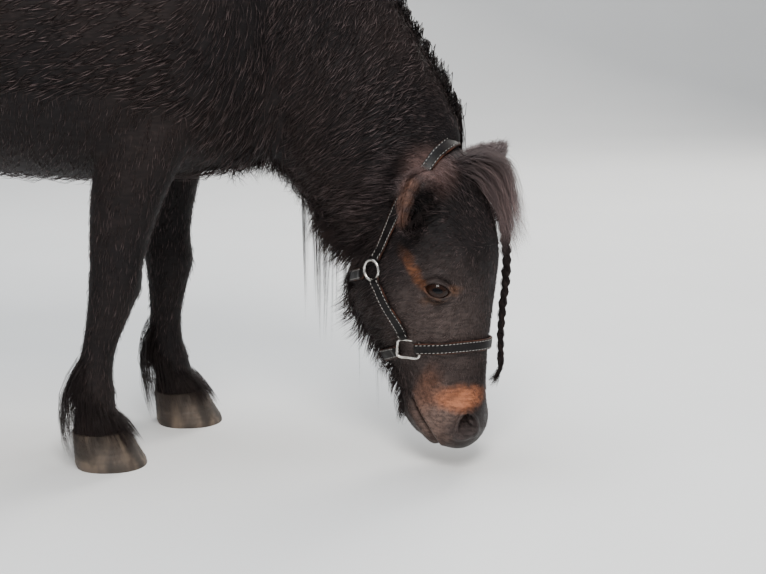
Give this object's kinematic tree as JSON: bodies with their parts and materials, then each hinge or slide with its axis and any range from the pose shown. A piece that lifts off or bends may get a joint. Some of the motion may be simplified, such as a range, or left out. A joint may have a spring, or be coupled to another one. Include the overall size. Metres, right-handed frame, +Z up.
{
  "type": "pony",
  "caption": "Small shaggy pony grazing with its head to the ground, with a long mane and tail, a plaited forelock and a leather headcollar.",
  "frame": {"origin": "on the ground under the middle of the pony's whole box", "axes": "+X forward, towards the head; +Y the pony's left side; +Z up"},
  "size_m": [1.3034, 0.424, 0.8834],
  "materials": {
    "coat": "shaggy seal-brown coat, near black, with tan at the muzzle and round the eyes",
    "hair": "long coarse black-brown hair",
    "eye": "wet, dark brown",
    "horn": "horn, brown with pale stripes, worn and dull",
    "leather": "black leather with pale stitching, rubbed brown at the edges",
    "metal": "nickel plate, slightly dulled"
  },
  "bodies": {
    "root": {"torso": "coat", "neck": "coat", "head": "coat", "ear_right": "coat", "ear_left": "coat", "leg_front_left": "coat", "leg_front_right": "coat", "leg_hind_left": "coat", "leg_hind_right": "coat", "tail": "hair", "eye_right": "eye", "eye_left": "eye", "hoof_front_left": "horn", "hoof_front_right": "horn", "hoof_hind_left": "horn", "hoof_hind_right": "horn", "strap_cheek_right": "leather", "strap_cheek_left": "leather", "strap_crown": "leather", "strap_throat": "leather", "strap_nose": "leather", "strap_chin": "leather", "ring_cheek_right": "metal", "ring_cheek_left": "metal", "ring_nose_right": "metal", "ring_nose_left": "metal"}
  },
  "joints": []
}
